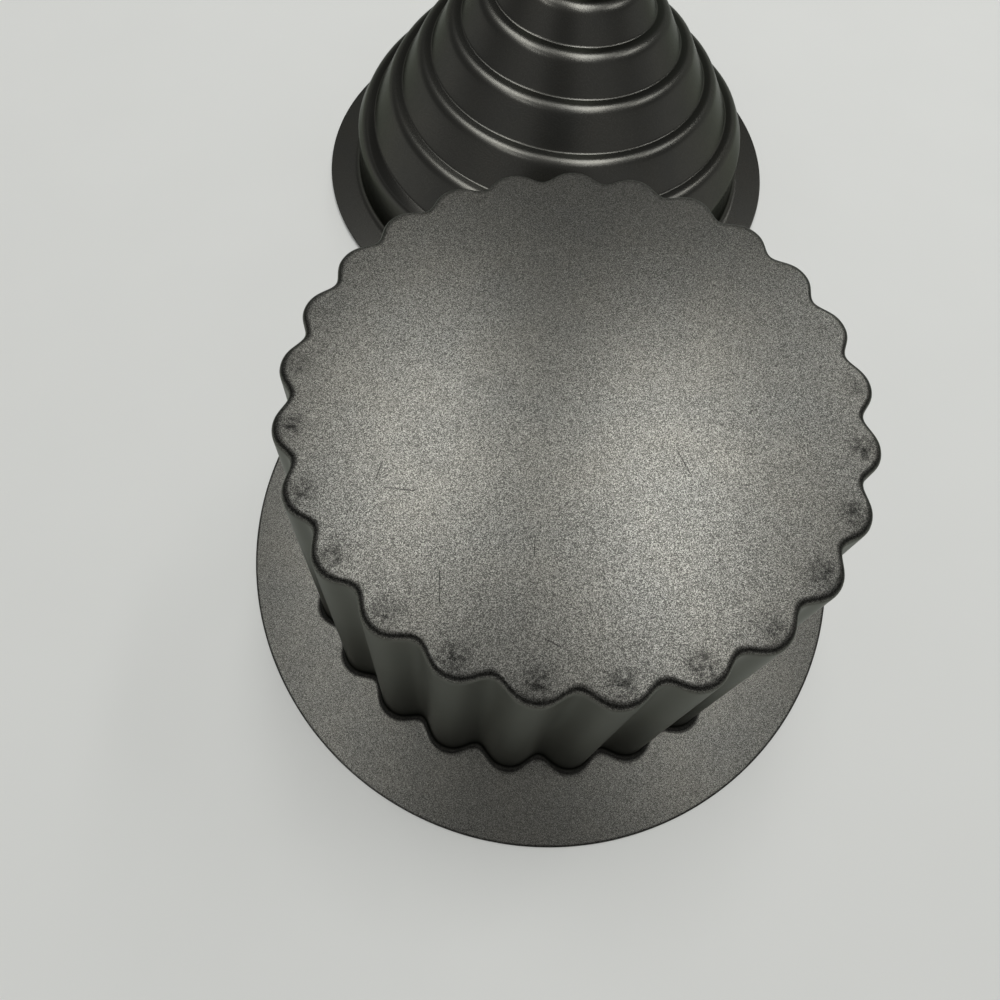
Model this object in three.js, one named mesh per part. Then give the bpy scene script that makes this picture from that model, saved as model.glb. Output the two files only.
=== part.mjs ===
// Giant cupcake pan: a baking set of two pressed steel pans, both standing mouth down.
// The fluted cup pan stands towards -Y. The swirl top pan stands towards +Y, with the front of
// its flange lying on the cup pan's flange. Millimetres, +Z up, origin on the table midway between.
import * as THREE from 'three';
import { mergeVertices } from 'three/addons/utils/BufferGeometryUtils.js';

// What both pans of the set share: sheet, depth and flange, and how they lie together
const SHEET = 0.8;
const PAN_HEIGHT = 98.4;
const FLANGE_RADIUS = 110;
const REST_GAP = 0.3;
const FOOT_CLEARANCE = 0.3;
const FILLET_STEPS = 2;

// Fluted cup pan, measured on its outer face
const CUP_FLOOR_RADIUS = 66.1;
const CUP_FOOT_RADIUS = 85.3;
const CUP_BEND_RADIUS = 2.2;
const CUP_FILLET_RADIUS = 3.2;
const FLUTES = 25;
const FLUTE_DEPTH_AT_FLOOR = 3.3;
const FLUTE_DEPTH_AT_FOOT = 4.9;
const FLUTE_FLATNESS = 0.13;
const COLUMNS_PER_FLUTE = 8;

// Swirl top pan, measured on its outer face
const SWIRL_FOOT_RADIUS = 95.1;
const SWIRL_FILLET_RADIUS = 3.5;
const SWIRL_WALL_DRAFT = THREE.MathUtils.degToRad(9);
const SWIRL_STARTS = 2;
const SWIRL_TURNS = 3.53;
const SWIRL_END_HEIGHT = 17.4;
const SWIRL_END_ANGLE = THREE.MathUtils.degToRad(-60);
const TOP_TIER_WIDTH = 10.4;
const TOP_TIER_DEPTH = 6.8;
const TIER_DRAFT = THREE.MathUtils.degToRad(36);
const LEDGE_SLOPE = THREE.MathUtils.degToRad(2);
const SHOULDER_RADIUS = 5.5;
const SHOULDER_STEPS = 2;
const BROW_RADIUS = 12;
const TIP_RISE = 4;
const TIP_RADIUS = 6;
const TIP_SLOPE = 0.8;
const TIP_FADE_START = 0.5;
const TIP_FADE_END = 1.8;
const SWIRL_COLUMNS = 60;

const SMALL = 1e-6;
const WELD_DISTANCE = 1e-3;

const nonStickSteel = new THREE.MeshStandardMaterial({
  color: 0x6b6863, roughness: 0.42, metalness: 0.75,
});
const darkNonStickSteel = new THREE.MeshStandardMaterial({
  color: 0x4b4a45, roughness: 0.35, metalness: 0.75,
});

// A round corner at `corner`, as steps + 1 points of an arc that touches both straight sides.
// Where a side is too short the radius shrinks with it.
function roundCorner(before, corner, after, radius, steps) {
  const toBefore = before.clone().sub(corner);
  const toAfter = after.clone().sub(corner);
  const shortest = Math.min(toBefore.length(), toAfter.length());
  if (shortest < SMALL) {
    return Array.from({ length: steps + 1 }, () => corner.clone());
  }
  toBefore.normalize();
  toAfter.normalize();
  const halfAngle = Math.acos(THREE.MathUtils.clamp(toBefore.dot(toAfter), -1, 1)) / 2;
  const reach = Math.min(radius / Math.tan(halfAngle), shortest / 2);
  const bisector = toBefore.clone().add(toAfter).normalize();
  const centre = corner.clone().addScaledVector(bisector, reach / Math.cos(halfAngle));
  const start = corner.clone().addScaledVector(toBefore, reach).sub(centre);
  const turn = Math.sign(toBefore.cross(toAfter)) * -(Math.PI - 2 * halfAngle);
  return Array.from({ length: steps + 1 }, (unused, step) =>
    start.clone().rotateAround(new THREE.Vector2(), turn * step / steps).add(centre));
}

// Unit normals of a section, pointing to its outer side. Points that fall together share one normal,
// and points on the axis look straight up.
function sectionNormals(section) {
  const distinct = (from, step) => {
    let index = from;
    while (section[index + step] && section[index].distanceTo(section[from]) < SMALL) {
      index += step;
    }
    return section[index];
  };
  return section.map((point, index) => {
    const along = distinct(index, 1).clone().sub(distinct(index, -1)).normalize();
    return point.x < SMALL ? new THREE.Vector2(0, 1) : new THREE.Vector2(-along.y, along.x);
  });
}

// One pressed sheet. sectionAt(turn) gives its outer face at that part of a full turn, from the
// axis out to the flange edge, and the inner face lies one sheet thickness inside.
function pressSheet(name, material, columns, startAngle, sectionAt) {
  const points = [];
  const triangles = [];
  let rows = 0;
  for (let column = 0; column <= columns; column += 1) {
    const angle = startAngle + 2 * Math.PI * column / columns;
    const outer = sectionAt(column / columns);
    const normals = sectionNormals(outer);
    const last = outer.length - 1;
    normals[last].set(0, 1);
    const inner = outer.map((point, index) => point.clone().addScaledVector(normals[index], -SHEET));
    const loop = [...outer, ...inner.reverse()];
    rows = loop.length;
    for (const { x: radius, y: height } of loop) {
      points.push(radius * Math.cos(angle), radius * Math.sin(angle), height);
    }
  }
  for (let column = 0; column < columns; column += 1) {
    for (let row = 0; row < rows - 1; row += 1) {
      const here = column * rows + row;
      const next = here + rows;
      triangles.push(here, here + 1, next + 1, here, next + 1, next);
    }
  }
  const loose = new THREE.BufferGeometry();
  loose.setAttribute('position', new THREE.Float32BufferAttribute(points, 3));
  loose.setIndex(triangles);
  const merged = mergeVertices(loose, WELD_DISTANCE);
  const corners = merged.getIndex().array;
  const kept = [];
  for (let at = 0; at < corners.length; at += 3) {
    const [a, b, c] = corners.slice(at, at + 3);
    if (a !== b && b !== c && c !== a) kept.push(a, b, c);
  }
  merged.setIndex(kept);
  merged.computeVertexNormals();
  const mesh = new THREE.Mesh(merged, material);
  mesh.name = name;
  return mesh;
}

// The fluted cup: floor, bend, fluted wall, foot fillet and flange. A flute's crest lies on +Y.
function cupSection(turn) {
  const phase = 2 * Math.PI * turn * FLUTES;
  const wave = Math.cos(phase) - FLUTE_FLATNESS * Math.cos(2 * phase);
  const axis = new THREE.Vector2(0, PAN_HEIGHT);
  const floorEdge = new THREE.Vector2(CUP_FLOOR_RADIUS + wave * FLUTE_DEPTH_AT_FLOOR / 2, PAN_HEIGHT);
  const foot = new THREE.Vector2(CUP_FOOT_RADIUS + wave * FLUTE_DEPTH_AT_FOOT / 2, SHEET);
  const flangeEdge = new THREE.Vector2(FLANGE_RADIUS, SHEET);
  return [
    axis,
    ...roundCorner(axis, floorEdge, foot, CUP_BEND_RADIUS, FILLET_STEPS),
    ...roundCorner(floorEdge, foot, flangeEdge, CUP_FILLET_RADIUS, FILLET_STEPS),
    flangeEdge,
  ];
}

// The spiral that the grooves follow, as radius and height. `tier` counts terraces down from the
// tip: each start gains SWIRL_STARTS tiers in one turn, and the steps grow wider and deeper on the
// way down. The spiral meets the outer wall at LAST_TIER, where the grooves run out.
const LAST_TIER = SWIRL_STARTS * SWIRL_TURNS;
const GROOVE_TOP = PAN_HEIGHT - TIP_RISE;
const wallLean = Math.tan(SWIRL_WALL_DRAFT);
const tierLean = Math.tan(TIER_DRAFT);
const ledgeFall = Math.tan(LEDGE_SLOPE);
const wallRadius = (height) => SWIRL_FOOT_RADIUS - (height - SHEET) * wallLean;

function spiral(tier) {
  const share = (tier / LAST_TIER) ** 2;
  const radius = TOP_TIER_WIDTH * tier
    + share * (wallRadius(SWIRL_END_HEIGHT) - TOP_TIER_WIDTH * LAST_TIER);
  const height = GROOVE_TOP - TOP_TIER_DEPTH * tier
    - share * (GROOVE_TOP - TOP_TIER_DEPTH * LAST_TIER - SWIRL_END_HEIGHT);
  return new THREE.Vector2(radius, height);
}

const groove = (tier) => spiral(THREE.MathUtils.clamp(tier, 0, LAST_TIER));

// The outer corner of a terrace: where its ledge meets the sloping face that rises from the next
// turn of the spiral, or the outer wall if that comes first.
function shoulder(tier) {
  const ledge = groove(tier);
  const below = spiral(Math.max(tier + 1, 0));
  const toFace = (below.x - ledge.x - tierLean * (ledge.y - below.y)) / (1 - tierLean * ledgeFall);
  const toWall = (wallRadius(ledge.y) - ledge.x) / (1 - wallLean * ledgeFall);
  const width = Math.max(Math.min(toFace, toWall), 0);
  return ledge.add(new THREE.Vector2(1, -ledgeFall).multiplyScalar(width));
}

// The brow of the lowest terrace, where its sloping face meets the steeper outer wall.
function brow(tier) {
  const corner = shoulder(tier);
  const drop = (wallRadius(corner.y) - corner.x) / (tierLean - wallLean);
  return corner.add(new THREE.Vector2(tierLean, -1).multiplyScalar(drop));
}

// The tip is a round cone, and the terraces rise out of it.
function fadeIntoTip(point) {
  const fadeStart = groove(TIP_FADE_START).x;
  const fadeEnd = groove(TIP_FADE_END).x;
  const terraced = THREE.MathUtils.smoothstep(point.x, fadeStart, fadeEnd);
  const tip = PAN_HEIGHT - TIP_SLOPE * (Math.hypot(point.x, TIP_RADIUS) - TIP_RADIUS);
  point.y = THREE.MathUtils.lerp(tip, point.y, terraced);
  return point;
}

function swirlSection(turn) {
  const foot = new THREE.Vector2(SWIRL_FOOT_RADIUS, SHEET);
  const flangeEdge = new THREE.Vector2(FLANGE_RADIUS, SHEET);
  const section = [new THREE.Vector2(0, GROOVE_TOP)];
  for (let back = Math.ceil(LAST_TIER) + SWIRL_STARTS; back >= 0; back -= 1) {
    const tier = LAST_TIER - back + SWIRL_STARTS * turn;
    const lowest = tier + 1 > LAST_TIER;
    const corner = shoulder(tier);
    const faceEnd = lowest ? brow(tier) : groove(tier + 1);
    const browRadius = lowest ? BROW_RADIUS : 0;
    section.push(groove(tier));
    section.push(...roundCorner(groove(tier), corner, faceEnd, SHOULDER_RADIUS, SHOULDER_STEPS));
    section.push(...roundCorner(corner, faceEnd, groove(LAST_TIER), browRadius, FILLET_STEPS));
  }
  const wallTop = section[section.length - 1];
  section.forEach(fadeIntoTip);
  section.push(...roundCorner(wallTop, foot, flangeEdge, SWIRL_FILLET_RADIUS, FILLET_STEPS));
  section.push(flangeEdge);
  return section;
}

// Placing: the swirl pan's flange edge comes up to the foot of the cup's flutes, lies on the cup's
// flange there and reaches down to the table at the back.
const crestWave = 1 - FLUTE_FLATNESS;
const wallSlope = Math.atan2(
  CUP_FOOT_RADIUS - CUP_FLOOR_RADIUS + crestWave * (FLUTE_DEPTH_AT_FOOT - FLUTE_DEPTH_AT_FLOOR) / 2,
  PAN_HEIGHT - SHEET,
);
const cupToe = CUP_FOOT_RADIUS + crestWave * FLUTE_DEPTH_AT_FOOT / 2
  + CUP_FILLET_RADIUS * Math.tan((Math.PI / 2 - wallSlope) / 2);
const spacing = cupToe + FLANGE_RADIUS + FOOT_CLEARANCE;
const swirlTilt = Math.atan2(SHEET + REST_GAP, spacing);
const length = spacing + 2 * FLANGE_RADIUS;

const pans = new THREE.Group();

const cupPan = pressSheet(
  'fluted_cup_pan', nonStickSteel, FLUTES * COLUMNS_PER_FLUTE, Math.PI / 2, cupSection,
);
cupPan.position.y = FLANGE_RADIUS - length / 2;
pans.add(cupPan);

const swirlPan = pressSheet(
  'swirl_top_pan', darkNonStickSteel, SWIRL_COLUMNS, SWIRL_END_ANGLE, swirlSection,
);
swirlPan.position.y = -FLANGE_RADIUS;
const swirlSeat = new THREE.Group();
swirlSeat.position.y = length / 2;
swirlSeat.rotation.x = -swirlTilt;
swirlSeat.add(swirlPan);
pans.add(swirlSeat);

export default pans;
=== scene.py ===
# %% [markdown]
# # A giant cupcake pan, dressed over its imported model
# The object is a baking set of two loose pans, pressed from thin steel sheet and coated with a
# sparkling grey non-stick finish. Both stand mouth down: a fluted cup pan in front, and behind it
# a swirl top pan whose flange lies on the cup pan's flange.

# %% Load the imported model
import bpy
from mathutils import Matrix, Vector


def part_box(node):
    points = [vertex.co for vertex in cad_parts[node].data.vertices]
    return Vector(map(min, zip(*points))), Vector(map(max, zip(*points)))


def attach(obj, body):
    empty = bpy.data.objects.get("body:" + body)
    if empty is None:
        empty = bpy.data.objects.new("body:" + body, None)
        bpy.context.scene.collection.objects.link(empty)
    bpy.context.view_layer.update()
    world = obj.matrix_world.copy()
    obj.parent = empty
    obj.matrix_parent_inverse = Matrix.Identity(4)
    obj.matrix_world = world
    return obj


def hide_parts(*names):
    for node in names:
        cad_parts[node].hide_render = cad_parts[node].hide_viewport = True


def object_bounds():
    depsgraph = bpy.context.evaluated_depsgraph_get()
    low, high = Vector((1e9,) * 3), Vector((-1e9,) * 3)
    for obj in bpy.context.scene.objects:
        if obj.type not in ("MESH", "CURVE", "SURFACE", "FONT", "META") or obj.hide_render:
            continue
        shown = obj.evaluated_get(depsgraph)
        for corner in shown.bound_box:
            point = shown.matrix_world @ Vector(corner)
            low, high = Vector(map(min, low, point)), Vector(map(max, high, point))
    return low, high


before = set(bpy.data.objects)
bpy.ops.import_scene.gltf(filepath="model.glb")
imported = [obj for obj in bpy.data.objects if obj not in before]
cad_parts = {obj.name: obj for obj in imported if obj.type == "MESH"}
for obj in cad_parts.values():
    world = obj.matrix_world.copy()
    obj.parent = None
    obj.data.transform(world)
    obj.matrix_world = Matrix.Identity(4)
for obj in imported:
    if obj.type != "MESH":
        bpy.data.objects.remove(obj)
cad_box = [list(corner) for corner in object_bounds()]

# %% Modules and units
import math
import bmesh
import bpy
from mathutils import Matrix, Vector

scene = bpy.context.scene
MM = 0.001
TINY = 1e-6


def in_mm(values):
    """Lengths in millimetres, rounded for printing."""
    return [round(value / MM, 2) for value in values]


print("box in millimetres", [in_mm(corner) for corner in cad_box])

# %% [markdown]
# ## Camera
# The photograph was taken by hand, close above the front pan, with a wide lens. A constraint could
# aim the camera at a target, but then it would have no roll. So its place, turn, tilt and roll are
# set one by one. They were worked out from both flange circles and the floor's fluted outline. The
# near clip is shorter than Blender's default, because the pan's floor is only about 10 cm from the
# lens.

# %% Camera at the photograph's angle
LENS = 19.615
SENSOR_WIDTH = 36
NEAR_CLIP = 10 * MM
CAMERA_FROM_CUP = Vector((-15.6, -66.1, 204.2)) * MM
CAMERA_TURN = math.radians(0.583)
CAMERA_TILT = math.radians(90 - 69.798)
CAMERA_ROLL = math.radians(1.72)

cup_low, cup_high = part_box("fluted_cup_pan")
cup_axis = (cup_low + cup_high) / 2
camera_data = bpy.data.cameras.new("camera")
camera_data.sensor_width = SENSOR_WIDTH
camera_data.lens = LENS
camera_data.clip_start = NEAR_CLIP
camera = bpy.data.objects.new("camera", camera_data)
scene.collection.objects.link(camera)
camera.matrix_world = (
    Matrix.Translation(Vector((cup_axis.x, cup_axis.y, 0)) + CAMERA_FROM_CUP)
    @ Matrix.Rotation(CAMERA_TURN, 4, "Z")
    @ Matrix.Rotation(CAMERA_TILT, 4, "X")
    @ Matrix.Rotation(CAMERA_ROLL, 4, "Z")
)
scene.camera = camera
print("camera at", in_mm(camera.matrix_world.translation), "mm")

# %% [markdown]
# ## Helpers for pressed sheet
# A press leaves no sharp corner, so every corner of a section is rounded before it becomes a
# surface. A Bevel modifier could round the finished shape, but an arc in the section gives each
# bend its own radius. Both pans are then finished in the same way: merge the seams, turn the faces
# outwards, give the sheet its thickness towards the inside, and round the cut edge of the flange.

# %% Rounded corners of a section
CORNER_STEPS = 8


def round_corner(before, corner, after, radius, steps=CORNER_STEPS):
    """Points of an arc that touches both straight sides of a corner, from `before` to `after`."""
    to_before = before - corner
    to_after = after - corner
    shortest = min(to_before.length, to_after.length)
    if shortest < TINY:
        return [corner.copy() for step in range(steps + 1)]
    to_before.normalize()
    to_after.normalize()
    half = math.acos(max(-1.0, min(1.0, to_before.dot(to_after)))) / 2
    reach = min(radius / math.tan(half), shortest / 2)
    bisector = to_before + to_after
    if reach < TINY or bisector.length < TINY:
        return [corner.copy() for step in range(steps + 1)]
    centre = corner + bisector.normalized() * (reach / math.cos(half))
    start = corner + to_before * reach - centre
    side = -1 if to_before.x * to_after.y - to_before.y * to_after.x > 0 else 1
    sweep = side * (math.pi - 2 * half)
    return [
        centre + Matrix.Rotation(sweep * step / steps, 2) @ start
        for step in range(steps + 1)
    ]


def points_between(start, end, shares):
    """Points on a straight line, at the given shares of the way."""
    return [start.lerp(end, share) for share in shares]


# %% From a surface to a finished sheet
SHEET = 0.8 * MM
WELD = 0.002 * MM
EDGE_ROUND = 0.25 * MM
EDGE_SEGMENTS = 3
CUT_ANGLE = math.radians(60)
CUT_MARGIN = 1 * MM


def sheet_from_surface(bm, flange_radius):
    """Welds a surface, gives it the sheet's thickness and rounds the flange's cut edge."""
    bmesh.ops.remove_doubles(bm, verts=bm.verts[:], dist=WELD)
    bmesh.ops.recalc_face_normals(bm, faces=bm.faces[:])
    if sum(face.normal.z * face.calc_area() for face in bm.faces) < 0:
        bmesh.ops.reverse_faces(bm, faces=bm.faces[:])
    bmesh.ops.solidify(bm, geom=bm.faces[:], thickness=SHEET)
    cut_edges = [
        edge for edge in bm.edges
        if len(edge.link_faces) == 2
        and edge.calc_face_angle() > CUT_ANGLE
        and min(vert.co.xy.length for vert in edge.verts) > flange_radius - CUT_MARGIN
    ]
    bmesh.ops.bevel(
        bm, geom=cut_edges, offset=EDGE_ROUND, offset_type="OFFSET", segments=EDGE_SEGMENTS,
        profile=0.5, affect="EDGES", material=-1,
    )
    print("rounded", len(cut_edges), "edges of the flange")


def make_piece(name, bm):
    """Puts a finished bmesh into a smooth-shaded object that sits at the origin."""
    mesh = bpy.data.meshes.new(name)
    bm.to_mesh(mesh)
    bm.free()
    mesh.shade_smooth()
    piece = bpy.data.objects.new(name, mesh)
    scene.collection.objects.link(piece)
    corners = [vert.co for vert in mesh.vertices]
    low = in_mm(min(co[axis] for co in corners) for axis in range(3))
    high = in_mm(max(co[axis] for co in corners) for axis in range(3))
    print(name, len(mesh.polygons), "faces, from", low, "to", high, "mm")
    return piece


# %% [markdown]
# ## Fluted cup pan
# The cup pan is a round floor, a steep wall with 25 flutes, and a wide flat flange. It could be
# lofted from fluted rings, but a plain round pan that is spun first and fluted afterwards keeps
# its rounded bends clean. So a section of four corners is rounded, spun about the axis, and then
# every point moves outwards or inwards by a wave that runs round the pan. The wave is full on the
# wall and fades over the floor and the flange, which stay flat.

# %% Cup pan: rounded section
PAN_HEIGHT = 98.4 * MM
FLANGE_RADIUS = 110 * MM
CUP_FLOOR_RADIUS = 66.1 * MM
CUP_FOOT_RADIUS = 85.3 * MM
CUP_BEND_RADIUS = 2.2 * MM
CUP_FILLET_RADIUS = 3.2 * MM
FLOOR_SHARES = (0, 0.3, 0.6, 0.85, 0.99)
WALL_SHARES = (0.01, 0.1, 0.25, 0.4, 0.55, 0.7, 0.85, 0.99)
FLANGE_SHARES = (0.03, 0.35, 0.7, 0.96, 1)

axis_top = Vector((0, PAN_HEIGHT))
floor_edge = Vector((CUP_FLOOR_RADIUS, PAN_HEIGHT))
cup_foot = Vector((CUP_FOOT_RADIUS, SHEET))
flange_edge = Vector((FLANGE_RADIUS, SHEET))
bend = round_corner(axis_top, floor_edge, cup_foot, CUP_BEND_RADIUS)
fillet = round_corner(floor_edge, cup_foot, flange_edge, CUP_FILLET_RADIUS)
floor_rings = points_between(axis_top, bend[0], FLOOR_SHARES)
wall_rings = points_between(bend[-1], fillet[0], WALL_SHARES)
flange_rings = points_between(fillet[-1], flange_edge, FLANGE_SHARES)
cup_section = floor_rings + bend + wall_rings + fillet + flange_rings
print("cup section has", len(cup_section), "points")

# %% Cup pan: the section spun about the axis
FLUTES = 25
COLUMNS_PER_FLUTE = 24


def spin_section(bm, section, direction, columns):
    """Spins a section of radii and heights a full turn about the axis, from a level direction."""
    verts = [bm.verts.new(direction * point.x + Vector((0, 0, point.y))) for point in section]
    edges = [bm.edges.new(pair) for pair in zip(verts, verts[1:])]
    bmesh.ops.spin(
        bm, geom=verts + edges, cent=(0, 0, 0), axis=(0, 0, 1), angle=2 * math.pi,
        steps=columns, use_merge=True,
    )


cup_bm = bmesh.new()
spin_section(cup_bm, cup_section, Vector((0, 1, 0)), FLUTES * COLUMNS_PER_FLUTE)
print("cup section spun to", len(cup_bm.faces), "faces")

# %% Cup pan: flutes
FLUTE_DEPTH_AT_FLOOR = 3.3 * MM
FLUTE_DEPTH_AT_FOOT = 4.9 * MM
FLUTE_FLATNESS = 0.13


def flute_shift(place):
    """How far a point of the round pan moves outwards to make the flutes."""
    phase = FLUTES * (math.atan2(place.y, place.x) - math.pi / 2)
    wave = math.cos(phase) - FLUTE_FLATNESS * math.cos(2 * phase)
    drop = (PAN_HEIGHT - place.z) / (PAN_HEIGHT - SHEET)
    depth = FLUTE_DEPTH_AT_FLOOR + drop * (FLUTE_DEPTH_AT_FOOT - FLUTE_DEPTH_AT_FLOOR)
    radius = place.xy.length
    over_floor = min(radius / bend[0].x, 1)
    over_flange = min((FLANGE_RADIUS - radius) / (FLANGE_RADIUS - fillet[-1].x), 1)
    return wave * depth / 2 * over_floor * over_flange


for vert in cup_bm.verts:
    outwards = Vector((vert.co.x, vert.co.y, 0))
    if outwards.length > TINY:
        vert.co += outwards.normalized() * flute_shift(vert.co)
print(FLUTES, "flutes of", FLUTES * COLUMNS_PER_FLUTE, "columns")

# %% Cup pan: thickness and place
sheet_from_surface(cup_bm, FLANGE_RADIUS)
bmesh.ops.translate(cup_bm, verts=cup_bm.verts[:], vec=(cup_axis.x, cup_axis.y, 0))
cup_pan = make_piece("cup_pan_sheet", cup_bm)
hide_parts("fluted_cup_pan")
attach(cup_pan, "cup_pan")

# %% [markdown]
# ## Swirl top pan
# The swirl is a stack of terraces that winds down from the tip like piped icing. It has two
# starts, half a turn apart, so each terrace is a ribbon: its long side follows a spiral, and its
# short side runs from a groove over a ledge and a round shoulder down a sloping face to the next
# groove. A stack of lofted rings would not wind, so each ribbon is worked out along its spiral. The
# spiral comes first: its radius and height grow a little faster towards the foot, because the lower
# terraces are the larger ones.

# %% Swirl pan: the spiral of the grooves
SWIRL_FOOT_RADIUS = 95.1 * MM
SWIRL_WALL_DRAFT = math.radians(9)
SWIRL_STARTS = 2
SWIRL_TURNS = 3.53
SWIRL_END_HEIGHT = 17.4 * MM
TOP_TIER_WIDTH = 10.4 * MM
TOP_TIER_DEPTH = 6.8 * MM
TIP_RISE = 4 * MM
LAST_TIER = SWIRL_STARTS * SWIRL_TURNS
GROOVE_TOP = PAN_HEIGHT - TIP_RISE
WALL_LEAN = math.tan(SWIRL_WALL_DRAFT)


def wall_radius(height):
    """Radius of the steep outer wall at a height."""
    return SWIRL_FOOT_RADIUS - (height - SHEET) * WALL_LEAN


def spiral(tier):
    """Radius and height of the spiral; `tier` counts terraces down from the tip."""
    share = (tier / LAST_TIER) ** 2
    widest = wall_radius(SWIRL_END_HEIGHT) - TOP_TIER_WIDTH * LAST_TIER
    deepest = GROOVE_TOP - TOP_TIER_DEPTH * LAST_TIER - SWIRL_END_HEIGHT
    radius = TOP_TIER_WIDTH * tier + share * widest
    return Vector((radius, GROOVE_TOP - TOP_TIER_DEPTH * tier - share * deepest))


def groove(tier):
    """The groove follows the spiral from the tip until it runs out on the outer wall."""
    return spiral(max(0.0, min(tier, LAST_TIER)))


print("grooves at", [in_mm(groove(tier)) for tier in range(math.ceil(LAST_TIER))], "mm")

# %% [markdown]
# ## One terrace of the swirl
# A terrace has a nearly level ledge, a round shoulder and a sloping face. The lowest terrace ends
# on a steep outer wall instead of a groove, and a soft brow joins the two. One section could be
# drawn and scaled, but that would scale its rounding too. So the corners are worked out from the
# grooves above and below, and each corner gets its own radius. Where the lowest face runs out,
# shoulder and brow blend into one round corner.

# %% Swirl pan: shoulders and brow
TIER_LEAN = math.tan(math.radians(36))
LEDGE_FALL = math.tan(math.radians(2))
SHOULDER_EASE = 3 * MM


def shoulder(tier):
    """Corner where a ledge meets the face below it, eased onto the wall where that is nearer."""
    ledge = groove(tier)
    below = spiral(max(tier + 1, 0.0))
    to_face = (below.x - ledge.x - TIER_LEAN * (ledge.y - below.y)) / (1 - TIER_LEAN * LEDGE_FALL)
    to_wall = (wall_radius(ledge.y) - ledge.x) / (1 - WALL_LEAN * LEDGE_FALL)
    ease = max(SHOULDER_EASE - abs(to_face - to_wall), 0.0)
    width = min(to_face, to_wall) - ease * ease / (4 * SHOULDER_EASE)
    return ledge + Vector((1, -LEDGE_FALL)) * max(width, 0.0)


def brow(tier):
    """Corner where the lowest terrace's sloping face meets the steeper outer wall."""
    corner = shoulder(tier)
    drop = (wall_radius(corner.y) - corner.x) / (TIER_LEAN - WALL_LEAN)
    return corner + Vector((TIER_LEAN, -1)) * drop


print("shoulders at", [in_mm(shoulder(tier)) for tier in range(math.ceil(LAST_TIER))], "mm")

# %% Swirl pan: section of one terrace
SHOULDER_RADIUS = 5.5 * MM
GROOVE_RADIUS = 1.2 * MM
GROOVE_STEPS = 4
BROW_RADIUS = 12 * MM
FACE_FADE = 8 * MM
FACE_SHARES = (0.15, 0.5, 0.85)
wall_end = groove(LAST_TIER)


def smooth_share(value, start, end):
    """A share that rises softly from 0 at `start` to 1 at `end`."""
    share = max(0.0, min((value - start) / (end - start), 1.0))
    return share * share * (3 - 2 * share)


def with_face(arc, ending):
    """Joins the shoulder's arc to what ends the face, with a few points on the straight face."""
    return arc + points_between(arc[-1], ending[0], FACE_SHARES) + ending


def lowest_terrace(start, corner, face_end):
    """Rounded shoulder and brow, which become one round corner where the face between them ends."""
    arc = round_corner(start, corner, face_end, SHOULDER_RADIUS)
    brow_arc = round_corner(corner, face_end, wall_end, BROW_RADIUS, GROOVE_STEPS - 1)
    stepped = with_face(arc, brow_arc)
    plain = round_corner(start, face_end, wall_end, SHOULDER_RADIUS, len(stepped) - 1)
    share = smooth_share((face_end - corner).length, 0, FACE_FADE)
    return [one.lerp(other, share) for one, other in zip(plain, stepped)] + [wall_end]


def terrace(tier):
    """Section from the middle of a terrace's own groove to the next groove or the outer wall."""
    start = groove(tier)
    corner = shoulder(tier)
    own_groove = round_corner(shoulder(tier - 1), start, corner, GROOVE_RADIUS, 2 * GROOVE_STEPS)
    own_half = own_groove[GROOVE_STEPS:]
    if tier + 1 > LAST_TIER:
        return own_half + lowest_terrace(start, corner, brow(tier))
    face_end = groove(tier + 1)
    arc = round_corner(start, corner, face_end, SHOULDER_RADIUS)
    next_corner = shoulder(tier + 1)
    next_groove = round_corner(corner, face_end, next_corner, GROOVE_RADIUS, 2 * GROOVE_STEPS)
    return own_half + with_face(arc, next_groove[:GROOVE_STEPS + 1])


print("a terrace's section has", len(terrace(LAST_TIER)), "points")

# %% [markdown]
# ## From ribbons to a whole swirl
# Near the peak there is no room for terraces, so there the sections fade into a plain round tip,
# which a small cap closes. A grid is used as a ready-made ribbon: each of its points is moved to its
# place on the spiral, which keeps the faces in order, and a copy turned by half a turn is the second
# start. Each point also remembers how far it lies on a ledge, where the coat gets a painted shade.
# Below the ribbons, a plain wall and the flange are spun, as on the cup pan.

# %% Swirl pan: the round tip
TIP_RADIUS = 6 * MM
TIP_SLOPE = 0.8
TIP_FADE_TIERS = (0.5, 1.8)
TIP_CAP_RADIUS = 4 * MM
TIP_SNAP = 0.05 * MM
tip_fade = [groove(tier).x for tier in TIP_FADE_TIERS]


def tip_height(radius):
    """Height of the plain round tip, before any terrace rises out of it."""
    return PAN_HEIGHT - TIP_SLOPE * (math.hypot(radius, TIP_RADIUS) - TIP_RADIUS)


def into_tip(point):
    """Lets the first terraces rise out of the tip, and ends them on the rim of its cap."""
    radius = TIP_CAP_RADIUS if point.x < TIP_CAP_RADIUS + TIP_SNAP else point.x
    terraced = smooth_share(radius, *tip_fade)
    tip = tip_height(radius)
    return Vector((radius, tip + terraced * (point.y - tip)))


print("terraces rise out of the tip between radii of", in_mm(tip_fade), "mm")

# %% Swirl pan: both ribbons
SWIRL_END_ANGLE = math.radians(-60)
COLUMNS_PER_TIER = 120
LEDGE_ROW = GROOVE_STEPS
LEDGE_ROWS = 3.5
HALF_GRID = 0.5
columns = round((LAST_TIER + 1) * COLUMNS_PER_TIER)
tiers = [LAST_TIER - (columns - column) / COLUMNS_PER_TIER for column in range(columns + 1)]
sections = [[into_tip(point) for point in terrace(tier)] for tier in tiers]
rows = len(sections[0]) - 1

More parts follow.
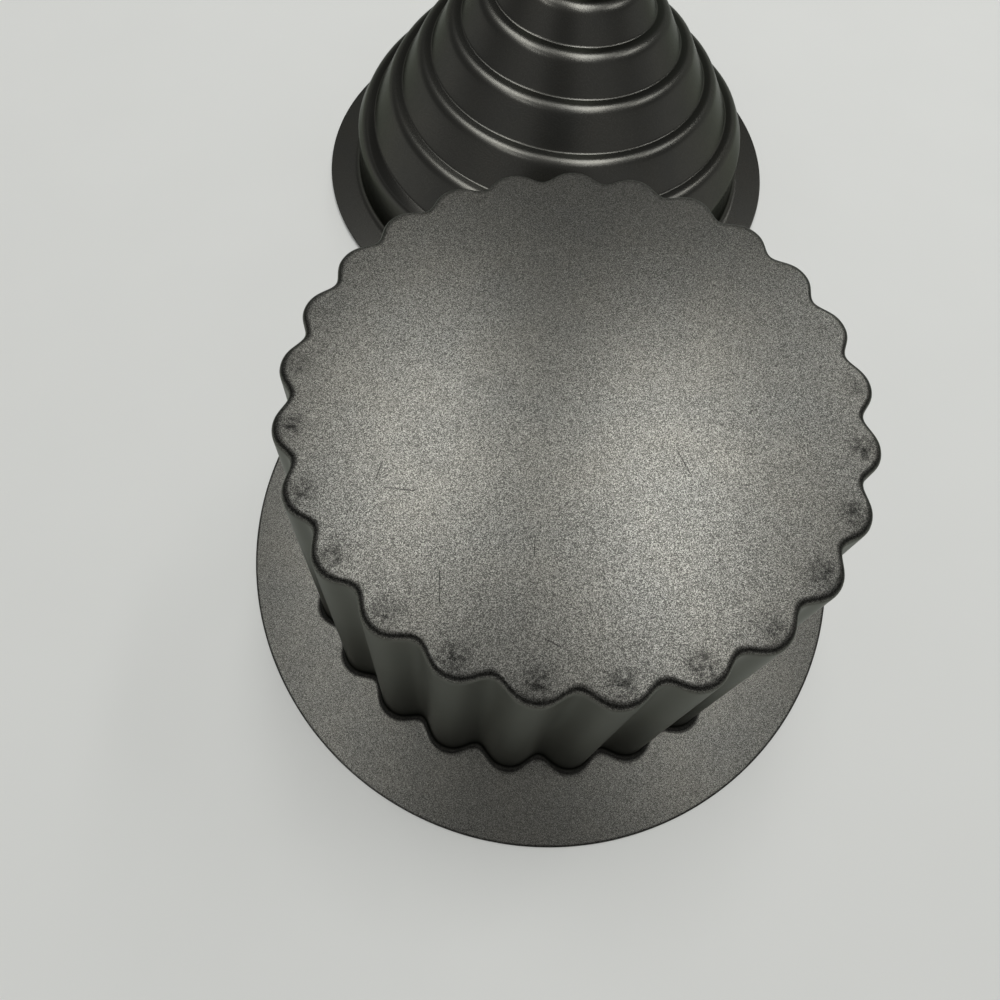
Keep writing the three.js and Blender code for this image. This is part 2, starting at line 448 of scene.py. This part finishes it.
swirl_bm = bmesh.new()
ledge_shade_layer = swirl_bm.verts.layers.float.new("ledge")
ribbon = bmesh.ops.create_grid(swirl_bm, x_segments=columns, y_segments=rows, size=HALF_GRID)
for vert in ribbon["verts"]:
    column = round((vert.co.x + HALF_GRID) * columns)
    row = round((vert.co.y + HALF_GRID) * rows)
    point = sections[column][row]
    angle = SWIRL_END_ANGLE + 2 * math.pi * (tiers[column] - LAST_TIER) / SWIRL_STARTS
    vert.co = (point.x * math.cos(angle), point.x * math.sin(angle), point.y)
    # How far each point lies on a ledge, which sets the ledges' painted shade.
    vert[ledge_shade_layer] = max(0.0, 1 - abs(row - LEDGE_ROW) / LEDGE_ROWS)
second = bmesh.ops.duplicate(swirl_bm, geom=swirl_bm.faces[:])
second_verts = [item for item in second["geom"] if isinstance(item, bmesh.types.BMVert)]
half_turn = Matrix.Rotation(math.pi, 3, "Z")
bmesh.ops.rotate(swirl_bm, verts=second_verts, cent=(0, 0, 0), matrix=half_turn)
print("each ribbon has", columns, "by", rows, "faces")

# %% Swirl pan: cap, lower wall and flange
SWIRL_FILLET_RADIUS = 3.5 * MM
LOWER_WALL_SHARES = (0, 0.12, 0.3, 0.6, 0.97)
CAP_RINGS = 5
swirl_foot = Vector((SWIRL_FOOT_RADIUS, SHEET))
swirl_fillet = round_corner(wall_end, swirl_foot, flange_edge, SWIRL_FILLET_RADIUS)
lower_rings = points_between(wall_end, swirl_fillet[0], LOWER_WALL_SHARES)
outer_rings = points_between(swirl_fillet[-1], flange_edge, FLANGE_SHARES)
cap_radii = [TIP_CAP_RADIUS * ring / CAP_RINGS for ring in range(CAP_RINGS + 1)]
cap_rings = [Vector((radius, tip_height(radius))) for radius in cap_radii]
start_direction = Vector((math.cos(SWIRL_END_ANGLE), math.sin(SWIRL_END_ANGLE), 0))
for section in (cap_rings, lower_rings + swirl_fillet + outer_rings):
    spin_section(swirl_bm, section, start_direction, SWIRL_STARTS * COLUMNS_PER_TIER)
print("swirl surface has", len(swirl_bm.faces), "faces before it gets its thickness")

# %% [markdown]
# ## Where the grooves run out
# Each groove ends on the outer wall. The press cannot draw a sharp end, so there the steel flows
# softly into the wall. In the mesh, the rows of the ribbon crowd together at that place and would
# leave a crease. It could be sculpted away by hand, but a script repeats better: points that lie too
# close are welded, and then the surface is smoothed in rounds. The reach shrinks with each round, so
# the softness fades out and leaves no border.

# %% Swirl pan: both grooves run out softly on the wall
RUN_OUT_REACH = 30 * MM
RUN_OUT_WELDS = ((RUN_OUT_REACH, 0.2 * MM), (RUN_OUT_REACH / 2, 0.5 * MM))
RUN_OUT_ROUNDS = 20
SMOOTHING = 0.5
FLATTER = 3
groove_ends = (start_direction.xy * wall_end.x, start_direction.xy * -wall_end.x)


def near_run_out(reach):
    """Points near an end of a groove, with up and down counted more strictly than sideways."""
    close = []
    for vert in swirl_bm.verts:
        across = min((vert.co.xy - end).length for end in groove_ends)
        if math.hypot(across, FLATTER * (vert.co.z - wall_end.y)) < reach:
            close.append(vert)
    return close


bmesh.ops.remove_doubles(swirl_bm, verts=swirl_bm.verts[:], dist=WELD)
for weld_reach, weld in RUN_OUT_WELDS:
    bmesh.ops.remove_doubles(swirl_bm, verts=near_run_out(weld_reach), dist=weld)
for turn in range(RUN_OUT_ROUNDS):
    soft_verts = near_run_out(RUN_OUT_REACH * (1 - turn / RUN_OUT_ROUNDS))
    bmesh.ops.smooth_vert(
        swirl_bm, verts=soft_verts, factor=SMOOTHING,
        use_axis_x=True, use_axis_y=True, use_axis_z=True,
    )
print("smoothed", RUN_OUT_ROUNDS, "times, the last time", len(soft_verts), "points")

# %% Swirl pan: thickness and place
REST_GAP = 0.3 * MM
axis_distance = (cad_box[1][1] - FLANGE_RADIUS) - cup_axis.y
swirl_tilt = math.atan2(SHEET + REST_GAP, axis_distance)
sheet_from_surface(swirl_bm, FLANGE_RADIUS)
seat = (
    Matrix.Translation((cup_axis.x, cup_axis.y + axis_distance + FLANGE_RADIUS, 0))
    @ Matrix.Rotation(-swirl_tilt, 4, "X")
    @ Matrix.Translation((0, -FLANGE_RADIUS, 0))
)
bmesh.ops.transform(swirl_bm, matrix=seat, verts=swirl_bm.verts[:])
swirl_pan = make_piece("swirl_pan_sheet", swirl_bm)
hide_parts("swirl_top_pan")
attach(swirl_pan, "swirl_pan")
print("the swirl pan leans", round(math.degrees(swirl_tilt), 3), "degrees")

# %% [markdown]
# ## Non-stick coating
# Both pans carry the same kind of coat: a dark lacquer full of tiny metal flakes, baked onto the
# steel. Close up it sparkles like salt and pepper, and further away it blurs to a soft grey satin.
# A noise picture could be laid over the metal, but a picture has one size and one seam. Here the
# grain is a node group on Object coordinates, so both pans share it at its real scale. One cell of
# a Voronoi pattern is one flake, a noise of the same fineness tilts the flakes, and wide clouds keep
# the coat from looking sprayed by a machine.

# %% Small helpers for nodes
def feed(tree, source, socket):
    """Links a socket into another one, or sets it if the source is a plain value."""
    if isinstance(source, bpy.types.NodeSocket):
        tree.links.new(source, socket)
    else:
        socket.default_value = source


def compute(tree, operation, *values):
    """A Math node with its values linked or set."""
    node = tree.nodes.new("ShaderNodeMath")
    node.operation = operation
    for value, socket in zip(values, node.inputs):
        feed(tree, value, socket)
    return node.outputs["Value"]


def centred(tree, value):
    """Spreads a value from 0 to 1 over -1 to 1."""
    return compute(tree, "MULTIPLY_ADD", value, 2, -1)


def rescale(tree, value, span, result):
    """A smooth Map Range node from one span to another, clamped at both ends."""
    node = tree.nodes.new("ShaderNodeMapRange")
    node.interpolation_type = "SMOOTHSTEP"
    feed(tree, value, node.inputs["Value"])
    for socket, number in zip(node.inputs[1:5], (*span, *result)):
        feed(tree, number, socket)
    return node.outputs["Result"]


def noise(tree, place, scale, detail):
    """A noise pattern whose scale is in waves per metre."""
    node = tree.nodes.new("ShaderNodeTexNoise")
    feed(tree, place, node.inputs["Vector"])
    feed(tree, scale, node.inputs["Scale"])
    node.inputs["Detail"].default_value = detail
    return node.outputs["Fac"]


# %% Helpers for node groups
def new_group(name, inputs, outputs):
    """An empty shader node group with named sockets, and its input and output nodes."""
    group = bpy.data.node_groups.new(name, "ShaderNodeTree")
    for label, kind in inputs.items():
        group.interface.new_socket(label, in_out="INPUT", socket_type="NodeSocket" + kind)
    for label, kind in outputs.items():
        group.interface.new_socket(label, in_out="OUTPUT", socket_type="NodeSocket" + kind)
    return group, group.nodes.new("NodeGroupInput"), group.nodes.new("NodeGroupOutput")


def use_group(tree, group, **values):
    """Places a node group in a material; words in a socket's name are joined by underscores here."""
    node = tree.nodes.new("ShaderNodeGroup")
    node.node_tree = group
    for label, value in values.items():
        feed(tree, value, node.inputs[label.replace("_", " ")])
    return node.outputs


# %% Node group: metal flakes
FLAKE_POWER = 2
MOTTLE_PER_FLAKE = 0.2
MOTTLE_SHARE = 0.05
MOTTLE_DETAIL = 2
CLOUDS_PER_METRE = 55
CLOUD_DETAIL = 3
TILT_DETAIL = 1

flakes, given, made = new_group(
    "metal_flakes",
    {"Place": "Vector", "Flakes per metre": "Float", "Contrast": "Float", "Clouds": "Float"},
    {"Tone": "Float", "Cloud": "Float", "Height": "Float"},
)
place = given.outputs["Place"]
density = given.outputs["Flakes per metre"]
cells = flakes.nodes.new("ShaderNodeTexVoronoi")
feed(flakes, place, cells.inputs["Vector"])
feed(flakes, density, cells.inputs["Scale"])
split = flakes.nodes.new("ShaderNodeSeparateColor")
feed(flakes, cells.outputs["Color"], split.inputs["Color"])
# The power makes bright flakes rare, and the scale after it brings their mean to zero.
flake = compute(flakes, "POWER", split.outputs["Red"], FLAKE_POWER)
flake = compute(flakes, "MULTIPLY_ADD", flake, FLAKE_POWER + 1, -1)
mottle_scale = compute(flakes, "MULTIPLY", density, MOTTLE_PER_FLAKE)
mottle = centred(flakes, noise(flakes, place, mottle_scale, MOTTLE_DETAIL))
grain = compute(flakes, "MULTIPLY_ADD", mottle, MOTTLE_SHARE, flake)
cloud = noise(flakes, place, CLOUDS_PER_METRE, CLOUD_DETAIL)
tone = compute(flakes, "MULTIPLY_ADD", grain, given.outputs["Contrast"], 1)
tone = compute(flakes, "MULTIPLY_ADD", centred(flakes, cloud), given.outputs["Clouds"], tone)
feed(flakes, tone, made.inputs["Tone"])
feed(flakes, cloud, made.inputs["Cloud"])
feed(flakes, noise(flakes, place, density, TILT_DETAIL), made.inputs["Height"])
print("group", flakes.name, "has", len(flakes.nodes), "nodes")

# %% [markdown]
# ## What both coatings share
# Steep walls get a painted shade: their colour is made darker, standing in for the dim reflections
# that steep metal shows, and their flakes and relief are weaker, so they look smoother. Each wall
# could have a material of its own, but then a line would show where they meet. Here the surface's own
# upward direction tells level from steep, so the coat changes softly round every bend.

# %% A coating material
FLAKES_PER_METRE = 7000
CLOUD_CONTRAST = 0.1
STEEP = 0.2
LEVEL = 0.75
PAINTED_STEEP_SHADE = 0.85
SHINE_SPAN = (0.5, 1.5)
SHINE_SPREAD = 0.04


def coating(name, contrast, relief, roughness, depth, edge_tint):
    """A coating material with its flakes; returns what a pan's own marks are added to."""
    material = bpy.data.materials.new(name)
    material.use_nodes = True
    tree = material.node_tree
    shader = tree.nodes["Principled BSDF"]
    shader.inputs["Metallic"].default_value = 1.0
    shader.inputs["Specular Tint"].default_value = edge_tint
    place = tree.nodes.new("ShaderNodeTexCoord").outputs
    upward = tree.nodes.new("ShaderNodeSeparateXYZ")
    feed(tree, place["Normal"], upward.inputs["Vector"])
    level = rescale(tree, upward.outputs["Z"], (STEEP, LEVEL), (0, 1))
    sparkle = use_group(
        tree, flakes, Place=place["Object"], Flakes_per_metre=FLAKES_PER_METRE,
        Contrast=compute(tree, "MULTIPLY", level, contrast), Clouds=CLOUD_CONTRAST,
    )
    bump = tree.nodes.new("ShaderNodeBump")
    bump.inputs["Distance"].default_value = relief
    feed(tree, level, bump.inputs["Strength"])
    feed(tree, sparkle["Height"], bump.inputs["Height"])
    feed(tree, bump.outputs["Normal"], shader.inputs["Normal"])
    dull_to_shiny = (roughness + SHINE_SPREAD, roughness - SHINE_SPREAD)
    feed(tree, rescale(tree, sparkle["Tone"], SHINE_SPAN, dull_to_shiny), shader.inputs["Roughness"])
    # Steep faces get a painted shade: their colour is darker than on level faces, standing in for the
    # dim reflections of steep metal.
    depth_and_steep_shade = rescale(tree, level, (0, 1), (PAINTED_STEEP_SHADE * depth, depth))
    tone = compute(tree, "MULTIPLY", sparkle["Tone"], depth_and_steep_shade)
    return material, place["Object"], sparkle["Cloud"], tone


# %% Colour of a coating
COAT_COLOUR = (0.108, 0.109, 0.101, 1)
WARM_COAT_COLOUR = (0.113, 0.109, 0.095, 1)


def mix_colours(tree, blend, factor, first, second):
    """A Mix node of two colours, linked or set."""
    node = tree.nodes.new("ShaderNodeMix")
    node.data_type = "RGBA"
    node.blend_type = blend
    for label, source in (("Factor", factor), ("A", first), ("B", second)):
        feed(tree, source, node.inputs[label])
    return node.outputs["Result"]


def colour_coat(material, cloud, tone):
    """Multiplies the coat's cloudy colour by a tone and feeds it to the shader."""
    tree = material.node_tree
    cloudy = mix_colours(tree, "MIX", cloud, COAT_COLOUR, WARM_COAT_COLOUR)
    toned = mix_colours(tree, "MULTIPLY", 1.0, cloudy, tone)
    feed(tree, toned, tree.nodes["Principled BSDF"].inputs["Base Color"])
    print("material", material.name, "has", len(tree.nodes), "nodes")


# %% [markdown]
# ## Marks and painted shade on the cup pan
# The cup pan's flat floor took small knocks: spots of rubbed coat on the tips of the flutes at the
# front, with a painted shade of small dents there, and a few hairline scratches. The bend round the
# floor gets a darker band, the wall's foot a painted shade in its hollow, and the flange's cut edge a
# thin painted shade. The marks could be painted into a picture, but masks worked out from each
# point's place on the pan stay sharp at any size. Together they say how much of the coat's tone is
# worn off or shaded.

# %% Cup pan's coat: flakes, and places measured from the floor's middle
cup_coat, place, cloud, tone = coating(
    "cup_coat", contrast=0.64, relief=0.0085 * MM, roughness=0.35, depth=1.0,
    edge_tint=(0.65, 0.672, 0.637, 1),
)
tree = cup_coat.node_tree
from_axis = tree.nodes.new("ShaderNodeMapping")
from_axis.inputs["Location"].default_value = (-cup_axis.x, -cup_axis.y, -PAN_HEIGHT)
feed(tree, place, from_axis.inputs["Vector"])
pan_place = from_axis.outputs["Vector"]
split_place = tree.nodes.new("ShaderNodeSeparateXYZ")
feed(tree, pan_place, split_place.inputs["Vector"])
pan_x, pan_y, pan_z = split_place.outputs
print("material", cup_coat.name, "starts with", len(tree.nodes), "nodes")

# %% Cup pan's coat: rubbed flute tips with painted dent shade
RUB_AND_SHADE_RADIUS = 63 * MM
RUB_AND_SHADE_REACH = 4.5 * MM
RUB_AND_SHADE_DEPTH = 0.85
RUB_AND_SHADE_FRONT = (-15 * MM, 30 * MM)
PATCHES_PER_METRE = 90
PATCH_DETAIL = 1
PATCH_SPAN = (0.36, 0.56)
PATCH_AMOUNT = (0.75, 1)
SPECKS_PER_METRE = 700
SPECK_DETAIL = 4
SPECK_SPAN = (0.36, 0.66)
SPECK_AMOUNT = (0.2, 1)


def vector_math(tree, operation, *vectors):
    """The outputs of a Vector Math node with its vectors linked or set."""
    node = tree.nodes.new("ShaderNodeVectorMath")
    node.operation = operation
    for vector, socket in zip(vectors, node.inputs):
        feed(tree, vector, socket)
    return node.outputs


azimuth = compute(tree, "ARCTAN2", pan_y, pan_x)
phase = compute(tree, "MULTIPLY_ADD", azimuth, FLUTES, -FLUTES * math.pi / 2)
crest = rescale(tree, compute(tree, "COSINE", phase), (0, 1), (0, 1))
radius = vector_math(tree, "LENGTH", pan_place)["Value"]
off_ring = compute(tree, "ABSOLUTE", compute(tree, "SUBTRACT", radius, RUB_AND_SHADE_RADIUS))
ring = rescale(tree, off_ring, (0, RUB_AND_SHADE_REACH), (1, 0))
front = rescale(tree, pan_y, RUB_AND_SHADE_FRONT, (1, 0))
patch_noise = noise(tree, pan_place, PATCHES_PER_METRE, PATCH_DETAIL)
speck_noise = noise(tree, pan_place, SPECKS_PER_METRE, SPECK_DETAIL)
patches = rescale(tree, patch_noise, PATCH_SPAN, PATCH_AMOUNT)
specks = rescale(tree, speck_noise, SPECK_SPAN, SPECK_AMOUNT)
# The flute tips' dark spots are rubbed coat with a painted shade of small dents, kept to the front.
wear_and_shade = RUB_AND_SHADE_DEPTH
for mask in (crest, ring, front, patches, specks):
    wear_and_shade = compute(tree, "MULTIPLY", wear_and_shade, mask)
print("rubbed tips lie within", in_mm((RUB_AND_SHADE_RADIUS - RUB_AND_SHADE_REACH, RUB_AND_SHADE_RADIUS + RUB_AND_SHADE_REACH)), "mm")

# %% Node group: hairline scratch
hairline, given, made = new_group(
    "hairline_scratch",
    {"Place": "Vector", "Start": "Vector", "End": "Vector", "Width": "Float"},
    {"Mask": "Float"},
)
start = given.outputs["Start"]
line = vector_math(hairline, "SUBTRACT", given.outputs["End"], start)["Vector"]
offset = vector_math(hairline, "SUBTRACT", given.outputs["Place"], start)["Vector"]
along = vector_math(hairline, "DOT_PRODUCT", offset, line)["Value"]
whole = vector_math(hairline, "DOT_PRODUCT", line, line)["Value"]
share = compute(hairline, "DIVIDE", along, whole)
share = compute(hairline, "MINIMUM", compute(hairline, "MAXIMUM", share, 0), 1)
nearest = hairline.nodes.new("ShaderNodeVectorMath")
nearest.operation = "SCALE"
feed(hairline, line, nearest.inputs["Vector"])
feed(hairline, share, nearest.inputs["Scale"])
gap = vector_math(hairline, "DISTANCE", offset, nearest.outputs["Vector"])["Value"]
feed(hairline, rescale(hairline, gap, (0, given.outputs["Width"]), (1, 0)), made.inputs["Mask"])
print("group", hairline.name, "has", len(hairline.nodes), "nodes")

# %% Cup pan's coat: scratches on the floor
SCRATCH_WIDTH = 0.22 * MM
SCRATCH_DEPTH = 0.7
SCRATCHES_MM = (
    ((-40.4, -25.3), (-33.6, -25.9)),
    ((-41.2, -19.4), (-42.1, -23.4)),
    ((-8.6, -34.6), (-8.7, -38.8)),
    ((-6.4, -54.8), (-3.4, -56.2)),
    ((-27.3, -42.6), (-26.9, -48.8)),
    ((21.5, -14.0), (24.0, -19.5)),
)
for start, end in SCRATCHES_MM:
    scratch = use_group(
        tree, hairline, Place=pan_place, Width=SCRATCH_WIDTH,
        Start=(start[0] * MM, start[1] * MM, 0), End=(end[0] * MM, end[1] * MM, 0),
    )
    scratched = compute(tree, "MULTIPLY", scratch["Mask"], SCRATCH_DEPTH)
    wear_and_shade = compute(tree, "MAXIMUM", wear_and_shade, scratched)
print(len(SCRATCHES_MM), "scratches on the cup pan's floor")

# %% Cup pan's coat: darker bend, painted shade at the foot and along the rim
FOOT = SHEET - PAN_HEIGHT
BEND_END = (-0.8 * MM, -0.35 * MM)
BEND_START = (-0.2 * MM, -0.06 * MM)
BEND_DEPTH = 0.7
FOOT_SHADE_START = (FOOT + 0.04 * MM, FOOT + 0.25 * MM)
FOOT_SHADE_END = (FOOT + 2 * MM, FOOT + 5 * MM)
FOOT_SHADE_DEPTH = 0.75
RIM_SHADE_SPAN = (FLANGE_RADIUS - 0.9 * MM, FLANGE_RADIUS - 0.3 * MM)
RIM_SHADE_DEPTH = 0.6
DARK_AND_SHADED_BANDS = ((BEND_END, BEND_START, BEND_DEPTH), (FOOT_SHADE_START, FOOT_SHADE_END, FOOT_SHADE_DEPTH))

# The bend's band is simply darker; the foot's band is a painted shade in the fillet's hollow.
for lower, upper, amount in DARK_AND_SHADED_BANDS:
    above = rescale(tree, pan_z, lower, (0, 1))
    below = rescale(tree, pan_z, upper, (1, 0))
    band = compute(tree, "MULTIPLY", compute(tree, "MULTIPLY", above, below), amount)
    wear_and_shade = compute(tree, "MAXIMUM", wear_and_shade, band)
level_place = tree.nodes.new("ShaderNodeCombineXYZ")
feed(tree, pan_x, level_place.inputs["X"])
feed(tree, pan_y, level_place.inputs["Y"])
rim = vector_math(tree, "LENGTH", level_place.outputs["Vector"])["Value"]
# A painted shade along the flange's cut edge.
wear_and_shade = compute(tree, "MAXIMUM", wear_and_shade, rescale(tree, rim, RIM_SHADE_SPAN, (0, RIM_SHADE_DEPTH)))
kept = compute(tree, "SUBTRACT", 1, wear_and_shade)
colour_coat(cup_coat, cloud, compute(tree, "MULTIPLY", tone, kept))
cup_pan.data.materials.append(cup_coat)

# %% [markdown]
# ## Swirl pan's coat
# The swirl pan is smoother, darker and a little glossier. Its narrow ledges between the terraces get
# a painted shade, standing in for the dark face above that they mirror. A mask by height could not
# follow the winding ledges, so the coat reads the attribute that each point was given along with its
# place.

# %% Swirl pan's coat, with painted shade on the ledges
LEDGE_SHADE_DEPTH = 0.6
swirl_coat, place, cloud, tone = coating(
    "swirl_coat", contrast=0.13, relief=0.0004 * MM, roughness=0.29, depth=0.8,
    edge_tint=(0.5, 0.52, 0.49, 1),
)
tree = swirl_coat.node_tree
ledge = tree.nodes.new("ShaderNodeAttribute")
ledge.attribute_name = "ledge"
# Painted shade on the ledges, standing in for the dark face above that they mirror.
kept = rescale(tree, ledge.outputs["Fac"], (0, 1), (1, 1 - LEDGE_SHADE_DEPTH))
colour_coat(swirl_coat, cloud, compute(tree, "MULTIPLY", tone, kept))
swirl_pan.data.materials.append(swirl_coat)

# %% [markdown]
# ## Table
# The pans stand on a plain pale table top with a matt finish. It is a single large face: its soft
# tone comes from the light, and a very faint cloudiness keeps it from looking like a blank page.
# A far edge would cut across every view from the side, so the table fades out into the pale room.

# %% Table top
TABLE_SIZE = 1.5
TABLE_GAP = 0.2 * MM
table_bm = bmesh.new()
bmesh.ops.create_grid(table_bm, x_segments=1, y_segments=1, size=TABLE_SIZE)
bmesh.ops.translate(table_bm, verts=table_bm.verts[:], vec=(0, 0, cad_box[0][2] - TABLE_GAP))
table = make_piece("table_top", table_bm)

# %% Table's finish
TABLE_COLOUR = (0.78, 0.79, 0.76, 1)
TABLE_SHADE = (0.75, 0.76, 0.73, 1)
TABLE_CLOUDS_PER_METRE = 18
TABLE_CLOUD_DETAIL = 4
TABLE_ROUGHNESS = 0.6
TABLE_FADE = (0.6, 1.4)
table_finish = bpy.data.materials.new("pale_table")
table_finish.use_nodes = True
tree = table_finish.node_tree
table_shader = tree.nodes["Principled BSDF"]
table_shader.inputs["Roughness"].default_value = TABLE_ROUGHNESS
place = tree.nodes.new("ShaderNodeTexCoord").outputs["Object"]
shade = noise(tree, place, TABLE_CLOUDS_PER_METRE, TABLE_CLOUD_DETAIL)
table_tint = mix_colours(tree, "MIX", shade, TABLE_COLOUR, TABLE_SHADE)
feed(tree, table_tint, table_shader.inputs["Base Color"])
off_middle = vector_math(tree, "LENGTH", place)["Value"]
feed(tree, rescale(tree, off_middle, TABLE_FADE, (1, 0)), table_shader.inputs["Alpha"])
table.data.materials.append(table_finish)
print("material", table_finish.name, "has", len(tree.nodes), "nodes")

# %% [markdown]
# ## Light
# The photograph's light is soft and comes from above, from left and right, while the room around is
# dim. That shows in the metal: level faces are bright, ledges and steep walls are dark, and a dark
# band lies between the two sides. A picture of a room could light the scene, but a few soft boxes
# and a plain world are easier to set. The world is a dim room with a pale band round the horizon,
# which the steep walls mirror when they are seen from the side. On the camera's side the room is a
# little brighter away from its middle, and the swirl's sloping faces mirror that.

# %% World: a dim room with a pale horizon
FRONT_LIGHT = 0.36
BACK_LIGHT = 0.16
FRONT_SPAN = (-0.8, 0.2)
SIDE_SPAN = (0.08, 0.4)
HORIZON_LIGHT = 0.5
HORIZON_SPAN = (0.1, 0.65)

scene.view_settings.view_transform = "Standard"
world = bpy.data.worlds.new("room")
scene.world = world
world.use_nodes = True
tree = world.node_tree
direction = tree.nodes.new("ShaderNodeTexCoord")
facing = tree.nodes.new("ShaderNodeSeparateXYZ")
feed(tree, direction.outputs["Generated"], facing.inputs["Vector"])
in_front = rescale(tree, facing.outputs["Y"], FRONT_SPAN, (1, 0))
sideways = rescale(tree, compute(tree, "ABSOLUTE", facing.outputs["X"]), SIDE_SPAN, (0, 1))
glow = compute(tree, "MULTIPLY", in_front, sideways)
room = rescale(tree, glow, (0, 1), (BACK_LIGHT, FRONT_LIGHT))
horizon = rescale(tree, facing.outputs["Z"], HORIZON_SPAN, (HORIZON_LIGHT, 0))
feed(tree, compute(tree, "MAXIMUM", room, horizon), tree.nodes["Background"].inputs["Color"])
print("world", world.name, "has", len(tree.nodes), "nodes")

# %% [markdown]
# ## Soft boxes
# Five level soft boxes give the metal its reflections. Each one is set by its radiance, which is how
# bright it looks in a mirror, so its power follows from its area. They hang high, so that the light
# on the table falls off slowly.

# %% Five soft boxes
LAMP_HEIGHT = 2.6


def soft_box(name, place, size, radiance):
    """A level rectangular soft box that hangs over the table and shines down."""
    lamp = bpy.data.lights.new(name, "AREA")
    lamp.shape = "RECTANGLE"
    lamp.size, lamp.size_y = size
    lamp.energy = math.pi * size[0] * size[1] * radiance
    item = bpy.data.objects.new(name, lamp)
    scene.collection.objects.link(item)
    item.location = (*place, LAMP_HEIGHT)
    print(name, "gives", round(lamp.energy, 2), "W")


soft_box("left_soft_box", place=(-0.39, 1.14), size=(0.4, 1.6), radiance=7.55)
soft_box("right_soft_box", place=(0.83, 0.92), size=(0.53, 1.6), radiance=8.9)
soft_box("far_right_soft_box", place=(2.16, 1.81), size=(0.36, 1.84), radiance=7.6)
soft_box("front_left_fill", place=(-0.84, 0.37), size=(0.32, 2.74), radiance=4.5)
soft_box("front_right_fill", place=(0.95, -0.32), size=(0.35, 0.69), radiance=5.35)
